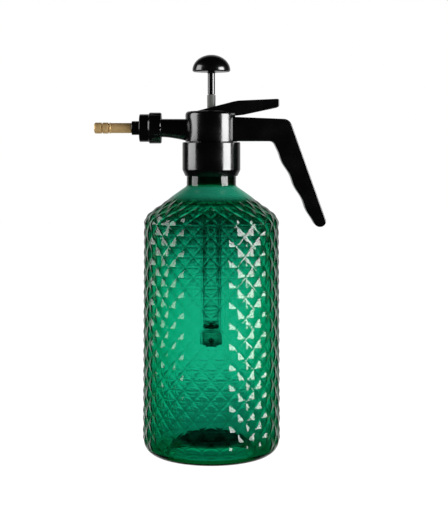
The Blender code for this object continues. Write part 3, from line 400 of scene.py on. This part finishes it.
# ---------------------------------------------------------------- collar
# Moulded black screw collar, a plain glossy ring with a long chamfer under it.
low, high = (corner.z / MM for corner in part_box("collar"))
COLLAR_R, SKIRT_R, SKIRT, COLLAR_BORE, LIP_BORE, LIP = 23.0, 20.7, 4.8, 19.95, 17.9, 1.3
ring = [(COLLAR_BORE, low, 0.3), (SKIRT_R, low, 0.35), (COLLAR_R, low + SKIRT, 1.6),
        (COLLAR_R, high, 0.9), (LIP_BORE, high, 0.2), (LIP_BORE, high - LIP), (COLLAR_BORE, high - LIP)]
pieced("screw_collar", *spun(ring, 128, closed=True), "collar", "black_plastic", black, ["collar"])


# ---------------------------------------------------------------- head
# One black moulding: a round head, a spout that flares into it, and an arm that bends
# into a flat-sided grip with shallow finger waves. A slot along the top takes the lever.
def slab(outline, width, edge, steps=6):
    """Points and faces of an (x, z) outline in mm spread along Y, its rims rounded by edge.

    The outline is inset by edge (1 - cos a) where the slab has widened to W/2 - edge (1 - sin a).
    """
    before, after = outline - np.roll(outline, 1, 0), np.roll(outline, -1, 0) - outline
    before /= np.linalg.norm(before, axis=1)[:, None]
    after /= np.linalg.norm(after, axis=1)[:, None]
    way = before + after
    way /= np.linalg.norm(way, axis=1)[:, None]
    area = np.sum(outline[:, 0] * np.roll(outline[:, 1], -1) - np.roll(outline[:, 0], -1) * outline[:, 1])
    inward = np.stack([-way[:, 1], way[:, 0]], 1) * np.sign(area)
    inward /= np.clip(np.sum(way * after, 1), 0.35, 1)[:, None]
    turn = np.radians(np.linspace(90, 0, steps + 1))
    inset = np.concatenate([edge * (1 - np.cos(turn)), edge * (1 - np.cos(turn[::-1]))])
    side = np.concatenate([-(width / 2 - edge * (1 - np.sin(turn))),
                           width / 2 - edge * (1 - np.sin(turn[::-1]))])
    rings = outline[None] + inward[None] * inset[:, None, None]
    y = np.broadcast_to(side[:, None, None], rings.shape[:2] + (1,))
    points = np.concatenate([rings[..., :1], y, rings[..., 1:]], 2).reshape(-1, 3) * MM
    count = len(outline)
    faces = grid_faces(len(side), count).tolist()
    faces += [list(range(count)), list(range(len(points) - count, len(points)))]
    return points, np.array(faces, dtype=object)


def combined(piece, others, operation):
    """Join the other bodies to the piece or cut them away, and keep the result as its mesh."""
    for other in others:
        change = piece.modifiers.new(other.name, "BOOLEAN")
        change.operation, change.solver, change.object = operation, "EXACT", other
    graph = bpy.context.evaluated_depsgraph_get()
    piece.data = bpy.data.meshes.new_from_object(piece.evaluated_get(graph))
    piece.modifiers.clear()
    for other in others:
        bpy.data.objects.remove(other)


def body_of(name, shape):
    """A bare body for joining or cutting."""
    return pieced(name, *shape, None, None, None)


def block(x, y, z):
    """Points and faces of a box between pairs of limits in mm."""
    outline = np.array([(x[0], z[0]), (x[1], z[0]), (x[1], z[1]), (x[0], z[1])], float)
    points = np.array([(a, b, c) for b in y for a, c in outline]) * MM
    return points, np.array([[0, 1, 2, 3], [7, 6, 5, 4], [0, 4, 5, 1], [1, 5, 6, 2],
                             [2, 6, 7, 3], [3, 7, 4, 0]])


def crosswise(radius, start, end, x, z):
    """Points and faces of a cylinder along Y, turned from one along Z by y = -z, z = y."""
    points, faces = spun([(0, start), (radius, start), (radius, end), (0, end)], 32)
    return points[:, [0, 2, 1]] * (1, -1, 1) + (x * MM, 0, z * MM), faces


HEAD_LOW, HEAD_TOP, HEAD_R, HEAD_WALL, HEAD_ROUND = 248.835, 273.035, 20.6, 2.8, 3.0
ARM_DEPTH, ARM_FALL, ARM_REACH, ARM_BEND, ARM_ROOT = 19.8, 2.0, 61.6, 7.0, 11.0
LEAN, RUN_IN = 0.352, 0.504                       # grip's back and front: run for each unit down
GRIP_WIDTH, GRIP_RIM, TIP_ROUND, INNER_BEND = 24.0, 0.9, 4.4, 4.5
FINGER_PITCH, FINGER_DEPTH, FINGER_START, FINGER_END = 19.0, 0.6, 4.04, 7.0
SPOUT_R, SPOUT_FLARE, SPOUT_BORE = 7.2, 1.44, 1.5
SLOT_FLOOR, SLOT_HALF, LEVER_ROOM = 15.4, 8.5, 69.3
PIN_HOLE, PIN_END, PIN_HEAD = 1.6, 11.5, 22.5
nut_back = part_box("nozzle_nut")[1].x / MM
spout_z = (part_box("nozzle_nut")[0].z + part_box("nozzle_nut")[1].z) / 2 / MM
grip_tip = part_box("head_housing")[0].z / MM
spigot_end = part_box("head_housing")[0].x / MM
arm_top = HEAD_LOW + ARM_DEPTH
back = ARM_REACH + LEAN * (arm_top - grip_tip)
inner_top = ARM_REACH + LEAN * ARM_DEPTH - ARM_DEPTH
inner_tip = inner_top + RUN_IN * (HEAD_LOW - grip_tip)
under = HEAD_LOW + 0.4
outside = rounded([(ARM_ROOT, arm_top), (ARM_REACH, arm_top - ARM_FALL, ARM_BEND),
                   (back, grip_tip, TIP_ROUND), (inner_tip, grip_tip, TIP_ROUND),
                   (inner_top, under), (ARM_ROOT, under)], steps=10)
wave_z = np.linspace(grip_tip + FINGER_END, HEAD_LOW - FINGER_END, 60)
phase = 2 * np.pi * (HEAD_LOW - wave_z) / FINGER_PITCH + FINGER_START
wave_x = inner_top + RUN_IN * (HEAD_LOW - wave_z) - FINGER_DEPTH * (1 - np.cos(phase))
fingers = np.stack([wave_x, wave_z], 1)
bend = rounded([tuple(fingers[-1]), (inner_top, under, INNER_BEND), (ARM_ROOT, under)],
               closed=False, steps=10)
grip = np.concatenate([outside[:-2], fingers, bend[1:]])
crown = [(0, HEAD_LOW), (HEAD_R, HEAD_LOW, 0.4), (HEAD_R, HEAD_TOP, HEAD_ROUND), (0, HEAD_TOP)]
housing = body_of("head_moulding", spun(crown, 160))
# The spout is an ellipse at each station: it grows and sinks towards the head as t ** 1.6.
t = np.linspace(0, 1, 14)
flare = t ** 1.6
root_z = (spout_z + SPOUT_R + HEAD_LOW + 0.2) / 2
mouth_x, root_x = nut_back + 0.6, HEAD_WALL - HEAD_R
stations = np.concatenate([
    [(spigot_end, SPOUT_R, SPOUT_R, spout_z), (nut_back, SPOUT_R, SPOUT_R, spout_z)],
    np.stack([mouth_x + (root_x - mouth_x) * t, SPOUT_R + SPOUT_FLARE * flare,
              SPOUT_R + (spout_z - root_z) * flare, spout_z + (root_z - spout_z) * flare], 1)])
turn = 2 * np.pi * np.arange(64) / 64
spout = np.stack([stations[:, 0, None] + 0 * turn, stations[:, 1, None] * np.cos(turn),
                  stations[:, 3, None] + stations[:, 2, None] * np.sin(turn)], 2).reshape(-1, 3) * MM
caps = [list(range(64)), list(range(len(spout) - 64, len(spout)))]
spout_faces = np.array(grid_faces(len(stations), 64).tolist() + caps, dtype=object)
grip_body = body_of("grip", slab(grip, GRIP_WIDTH, GRIP_RIM))
combined(housing, [body_of("spout", (spout, spout_faces)), grip_body], "UNION")
pin_x, pin_z = (sum(c[i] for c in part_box("trigger_pin")) / 2 / MM for i in (0, 2))
slot_z = HEAD_LOW + SLOT_FLOOR
head_bore = HEAD_R - HEAD_WALL
cap_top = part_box("cylinder_cap")[1].z / MM
boss_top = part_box("pump_seat")[1].z / MM
valve_x = sum(c.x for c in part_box("valve_stem")) / 2
# Cut away in turn: seat, gland, rod hole, lever slot, valve bore, gallery and pin hole.
cutters = [spun([(0, HEAD_LOW - 1), (head_bore, HEAD_LOW - 1), (head_bore, boss_top + 0.3),
                 (0, boss_top + 0.3)], 96),
           spun([(0, boss_top - 1), (9.6, boss_top - 1), (9.6, cap_top + 0.3), (0, cap_top + 0.3)], 64),
           spun([(0, cap_top - 1), (3.6, cap_top - 1), (3.6, HEAD_TOP + 1), (0, HEAD_TOP + 1)], 48),
           block((pin_x - 3.3, pin_x + LEVER_ROOM), (-SLOT_HALF, SLOT_HALF), (slot_z, HEAD_TOP + 5)),
           spun([(0, boss_top - 2), (1.2, boss_top - 2), (1.2, slot_z - 2.2), (2.8, slot_z - 2.2),
                 (2.8, slot_z + 1), (0, slot_z + 1)], 32, centre=(valve_x, 0.0)),
           spun([(0, 12.0), (SPOUT_BORE, 12.0), (SPOUT_BORE, -spigot_end + 1), (0, -spigot_end + 1)],
                32, along_x=True, centre=(0.0, spout_z * MM)),
           crosswise(PIN_HOLE, -PIN_HEAD, PIN_END, pin_x, pin_z)]
combined(housing, [body_of(f"core_{i}", shape) for i, shape in enumerate(cutters)], "DIFFERENCE")
settled(housing, "head", black, ["head_housing"], 30.0)


# ---------------------------------------------------------------- trigger lever
# Moulded black thumb lever: a wedge that is hollow underneath, with a window for the rod.
LEVER_WIDTH, LEVER_WALL, LEVER_RIM, PAD = 16.4, 1.8, 0.8, 6.4
EYE_R, WINDOW = 3.0, 4.6                          # eye round the pin, and half the rod's window
knee, crest, reach_x, end_z = pin_x + 34.3, pin_z + 11.9, pin_x + 67.8, pin_z + 13.4
waist_x, waist_z = pin_x + 39.8, pin_z - EYE_R + 3.98
wedge = rounded([(knee, crest, 30.0), (reach_x, end_z, 1.6), (reach_x, end_z - PAD, 2.0),
                 (waist_x, waist_z, 12.0)] + arc(pin_x, pin_z, EYE_R, -84.3, -250, 24), steps=8)
lever = body_of("thumb_lever", slab(wedge, LEVER_WIDTH, LEVER_RIM))
near, far, ceiling = valve_x / MM + 5.0, reach_x - LEVER_WALL, crest - LEVER_WALL
hollow = np.array([(near, pin_z - EYE_R), (far, pin_z - EYE_R), (far, end_z - LEVER_WALL),
                   (knee, ceiling), (near, ceiling + (near - knee) * 0.2)])
side = LEVER_WIDTH / 2 - LEVER_WALL
hollow_points = np.array([(x, y, z) for y in (-side, side) for x, z in hollow]) * MM
hollow_faces = np.array(grid_faces(2, 5).tolist() + [list(range(5)), list(range(5, 10))], dtype=object)
window = block((-WINDOW, WINDOW), (-WINDOW, WINDOW), (slot_z, crest + 20))
combined(lever, [body_of("lever_bore", crosswise(PIN_HOLE, -10.0, 10.0, pin_x, pin_z)),
                 body_of("lever_window", window),
                 body_of("lever_hollow", (hollow_points, hollow_faces))], "DIFFERENCE")
settled(lever, "trigger", black, ["trigger_lever"], 30.0)


# ---------------------------------------------------------------- nozzle
# A fluted black nut holds a black adapter on the spout; the misting tip is turned brass,
# a plain sleeve with two grooves near its slightly larger end.
low, high = (-corner.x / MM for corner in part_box("nozzle_nut")[::-1])
axis = (0.0, spout_z * MM)
NUT_R, NECK_OF_NUT, NUT_BORE, NUT_EYE = 12.3, 11.0, 7.8, 5.8
FLUTES, FLUTE_R = 12, 1.1
nut = rounded([(NUT_BORE, low, 0.2), (NUT_R, low, 1.2), (NUT_R, low + 9.3, 0.5),
               (NECK_OF_NUT, low + 10.3, 0.5), (NECK_OF_NUT, high, 0.8), (NUT_EYE, high, 0.2),
               (NUT_EYE, high - 2.1), (NUT_BORE, high - 2.1)], steps=4)
turn = 2 * np.pi * np.arange(192) / 192
# Round flutes: each is sqrt(R^2 - s^2) deep, with s the way along the rim from its middle.
half_step = np.pi / FLUTES
beside = NUT_R * (np.mod(turn + half_step, 2 * half_step) - half_step)
notch = np.sqrt(np.clip(FLUTE_R ** 2 - beside ** 2, 0, None))
out = nut[:, 0, None] + 0 * turn
gripped = (nut[:, 0, None] > NUT_R - 0.7) & (nut[:, 1, None] < low + 8.6)
out = np.where(gripped, np.minimum(out, NUT_R + 0.35 - notch), out)
points = np.stack([-nut[:, 1, None] + 0 * turn, out * np.sin(turn), spout_z + out * np.cos(turn)], 2)
pieced("fluted_nut", points.reshape(-1, 3) * MM, grid_faces(len(nut), 192, True), "nozzle_nut",
       "black_plastic", black, ["nozzle_nut"], 40.0)

low, high = (-corner.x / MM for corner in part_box("nozzle_adapter")[::-1])
ADAPTER_BORE, FLANGE_R, FLANGE, ADAPTER_R = 2.7, 7.5, 1.8, 5.5
adapter = [(ADAPTER_BORE, low), (FLANGE_R, low, 0.2), (FLANGE_R, low + FLANGE, 0.2),
           (ADAPTER_R, low + FLANGE), (ADAPTER_R, high, 0.6), (ADAPTER_BORE, high, 0.2)]
pieced("nozzle_seat", *spun(adapter, 64, True, axis, 4, True), "head", "black_plastic", black,
       ["nozzle_adapter"])

brass, tree = new_material("turned_brass")
# Turned brass, no longer new: warm metal with the lathe's fine rings, which stretch its
# highlight along the tip, and a brown bloom in patches.
place = add(tree, "ShaderNodeTexCoord").outputs["Object"]
x = add(tree, "ShaderNodeSeparateXYZ", None, {"Vector": place}).outputs["X"]
rings = add(tree, "ShaderNodeTexNoise", {"Scale": 5200.0, "Detail": 2.0}, {"W": x},
            noise_dimensions="1D")
bloom = add(tree, "ShaderNodeTexNoise", {"Scale": 260.0, "Detail": 4.0}, {"Vector": place})
tone = add(tree, "ShaderNodeMix", {6: linear("#b8945c"), 7: linear("#ecca90")},
           {0: bloom.outputs["Fac"]}, data_type="RGBA")
gloss = add(tree, "ShaderNodeMapRange", {"To Min": 0.55, "To Max": 0.40}, {"Value": bloom.outputs["Fac"]})
bump = add(tree, "ShaderNodeBump", {"Strength": 0.3, "Distance": 0.00008}, {"Height": rings.outputs["Fac"]})
metal = add(tree, "ShaderNodeBsdfPrincipled", {"Metallic": 0.55},
            {"Base Color": tone.outputs[2], "Roughness": gloss.outputs["Result"],
             "Normal": bump.outputs["Normal"]})
add(tree, "ShaderNodeOutputMaterial", None, {"Surface": metal.outputs["BSDF"]})

low, high = (-corner.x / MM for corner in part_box("nozzle_sleeve")[::-1])
SLEEVE_R, END_R, GROOVE_R, SLEEVE_BORE, ORIFICE = 4.0, 4.35, 3.5, 3.0, 0.7
sleeve = [(SLEEVE_BORE, low), (SLEEVE_R, low, 0.3), (SLEEVE_R, high - 13.2, 0.2),
          (END_R, high - 12.6, 0.15)]
for groove in (high - 11.6, high - 6.2):
    sleeve += [(END_R, groove - 0.55, 0.1), (GROOVE_R, groove - 0.2, 0.1),
               (GROOVE_R, groove + 0.2, 0.1), (END_R, groove + 0.55, 0.1)]
sleeve += [(END_R, high - 0.9, 0.3), (3.4, high, 0.3), (1.9, high, 0.1), (ORIFICE, high - 0.9),
           (ORIFICE, high - 1.6), (SLEEVE_BORE, high - 5.2)]
pieced("brass_tip", *spun(sleeve, 96, True, axis, 3, True), "nozzle_sleeve", "brass", brass,
       ["nozzle_sleeve"])


# ---------------------------------------------------------------- inner pieces of the frame
# The seat and the gland are black, the shoe, piston, dip tube and strainer are clear or
# smoked polypropylene, and the gasket and seals are rubber. The pin and the spring are
# steel, and the valve stem and the nozzle's core are brass.
rubber, tree = new_material("black_rubber")
# Nitrile rubber: matt dark grey with a fine grain.
place = add(tree, "ShaderNodeTexCoord").outputs["Object"]
grain = add(tree, "ShaderNodeTexNoise", {"Scale": 1500.0, "Detail": 3.0}, {"Vector": place})
tone = add(tree, "ShaderNodeMix", {6: linear("#161616"), 7: linear("#232324")},
           {0: grain.outputs["Fac"]}, data_type="RGBA")
bump = add(tree, "ShaderNodeBump", {"Strength": 0.3, "Distance": 0.0001}, {"Height": grain.outputs["Fac"]})
matt = add(tree, "ShaderNodeBsdfPrincipled", {"IOR": 1.52, "Roughness": 0.7},
           {"Base Color": tone.outputs[2], "Normal": bump.outputs["Normal"]})
add(tree, "ShaderNodeOutputMaterial", None, {"Surface": matt.outputs["BSDF"]})

steel, tree = new_material("bright_steel")
# Drawn stainless steel: bright, with fine streaks in its gloss.
place = add(tree, "ShaderNodeTexCoord").outputs["Object"]
streak = add(tree, "ShaderNodeTexNoise", {"Scale": 1800.0, "Detail": 2.0}, {"Vector": place})
gloss = add(tree, "ShaderNodeMapRange", {"To Min": 0.18, "To Max": 0.34}, {"Value": streak.outputs["Fac"]})
tone = add(tree, "ShaderNodeMix", {6: linear("#a9abad"), 7: linear("#c4c6c8")},
           {0: streak.outputs["Fac"]}, data_type="RGBA")
bright = add(tree, "ShaderNodeBsdfPrincipled", {"Metallic": 1.0},
             {"Base Color": tone.outputs[2], "Roughness": gloss.outputs["Result"]})
add(tree, "ShaderNodeOutputMaterial", None, {"Surface": bright.outputs["BSDF"]})

finishes = {"pump_seat": black, "cylinder_cap": black, "foot_valve_body": smoke, "piston": smoke,
            "dip_tube_strainer": clear_pp, "neck_gasket": rubber, "foot_valve_flap": rubber,
            "piston_seal": rubber, "stem_o_ring": rubber, "valve_seal": rubber,
            "nozzle_washer": rubber, "nozzle_o_ring": rubber, "trigger_pin": steel,
            "valve_spring": steel, "valve_stem": brass, "nozzle_core": brass, "dip_tube": clear_pp}
for name, finish in finishes.items():
    for material_slot in nodes[name].material_slots:
        material_slot.material = finish


# ---------------------------------------------------------------- stage
# A white sweep between two tall soft lights, the right one brighter. What shows through
# the bottle is a glow behind it, brightest at mid height, and the lights are kept out of it.
paper, tree = new_material("white_sweep")
place = add(tree, "ShaderNodeTexCoord").outputs["Object"]
fibre = add(tree, "ShaderNodeTexNoise", {"Scale": 30.0}, {"Vector": place})
tone = add(tree, "ShaderNodeMix", {6: linear("#f2f2f2"), 7: linear("#fafafa")},
           {0: fibre.outputs["Fac"]}, data_type="RGBA")
lit = add(tree, "ShaderNodeBsdfDiffuse", None, {"Color": tone.outputs[2]})
glow = add(tree, "ShaderNodeEmission", {"Strength": 1.16})
both = add(tree, "ShaderNodeMixShader", {0: 0.12}, {1: glow.outputs[0], 2: lit.outputs[0]})
add(tree, "ShaderNodeOutputMaterial", None, {"Surface": both.outputs[0]})
FLOOR, DROP = 3.0, -4e-4
corners = FLOOR * np.array([(-1.0, -1.0, 0), (1.0, -1.0, 0), (1.0, 1.0, 0), (-1.0, 1.0, 0)]) + (0, 0, DROP)
sweep = pieced("sweep", corners, np.array([[0, 1, 2, 3]]), None, None, None)
sweep.data.materials.append(paper)
sweep.visible_glossy = sweep.visible_transmission = False


LIGHT_OUT = 1.1


def softbox(name, azimuth, width, low, high, radiance):
    """Upright rectangular light facing the bottle; its power is radiance times pi times area."""
    light = bpy.data.lights.new(name, "AREA")
    light.shape = "RECTANGLE"
    light.size, light.size_y = width, high - low
    light.energy = radiance * math.pi * width * (high - low)
    lamp = bpy.data.objects.new(name, light)
    a = math.radians(azimuth)
    lamp.location = (LIGHT_OUT * math.sin(a), -LIGHT_OUT * math.cos(a), (low + high) / 2)
    lamp.rotation_euler = (math.radians(90), 0, a)
    lamp.visible_transmission = False
    bpy.context.scene.collection.objects.link(lamp)


softbox("light_right", 65.0, 0.67, 0.02, 0.72, 11.0)
softbox("light_left", -84.0, 0.75, 0.15, 1.00, 4.2)

world = bpy.data.worlds.new("studio")
bpy.context.scene.world = world
world.use_nodes = True
tree = world.node_tree
tree.nodes.clear()
way = add(tree, "ShaderNodeTexCoord").outputs["Generated"]
rise = add(tree, "ShaderNodeSeparateXYZ", None, {"Vector": way}).outputs["Z"]
climb = add(tree, "ShaderNodeMapRange", {"From Min": -0.5, "From Max": 0.5}, {"Value": rise})
glow = add(tree, "ShaderNodeValToRGB", None, {"Fac": climb.outputs["Result"]})
# Each stop is 0.5 plus the Z part of a ray's direction, and the glow's strength there.
stops = [(0.0, 0.4), (0.22, 0.34), (0.25, 0.08), (0.268, 0.27), (0.305, 0.32), (0.318, 0.84),
         (0.385, 0.84), (0.425, 0.17), (0.445, 0.012), (0.62, 0.03), (1.0, 0.3)]
while len(glow.color_ramp.elements) < len(stops):
    glow.color_ramp.elements.new(0.5)
for element, (position, value) in zip(glow.color_ramp.elements, stops):
    element.position = position
    element.color = (value, value, value, 1.0)
path = add(tree, "ShaderNodeLightPath")
# Gloss sees the white wall behind the bottle: it comes up as a ray's Y part goes 0.55 to 0.95.
across = add(tree, "ShaderNodeSeparateXYZ", None, {"Vector": way}).outputs["Y"]
wall = add(tree, "ShaderNodeMapRange",
           {"From Min": 0.55, "From Max": 0.95, "To Min": 0.006, "To Max": 0.55},
           {"Value": across}, interpolation_type="SMOOTHSTEP")
behind = add(tree, "ShaderNodeMix", None,
             {0: path.outputs["Is Transmission Ray"], 6: wall.outputs["Result"], 7: glow.outputs["Color"]},
             data_type="RGBA")
seen = add(tree, "ShaderNodeMix", {7: (1.0, 1.0, 1.0, 1.0)},
           {0: path.outputs["Is Camera Ray"], 6: behind.outputs[2]}, data_type="RGBA")
sky = add(tree, "ShaderNodeBackground", None, {"Color": seen.outputs[2]})
add(tree, "ShaderNodeOutputWorld", None, {"Surface": sky.outputs["Background"]})
bpy.context.scene.view_settings.view_transform = "Standard"
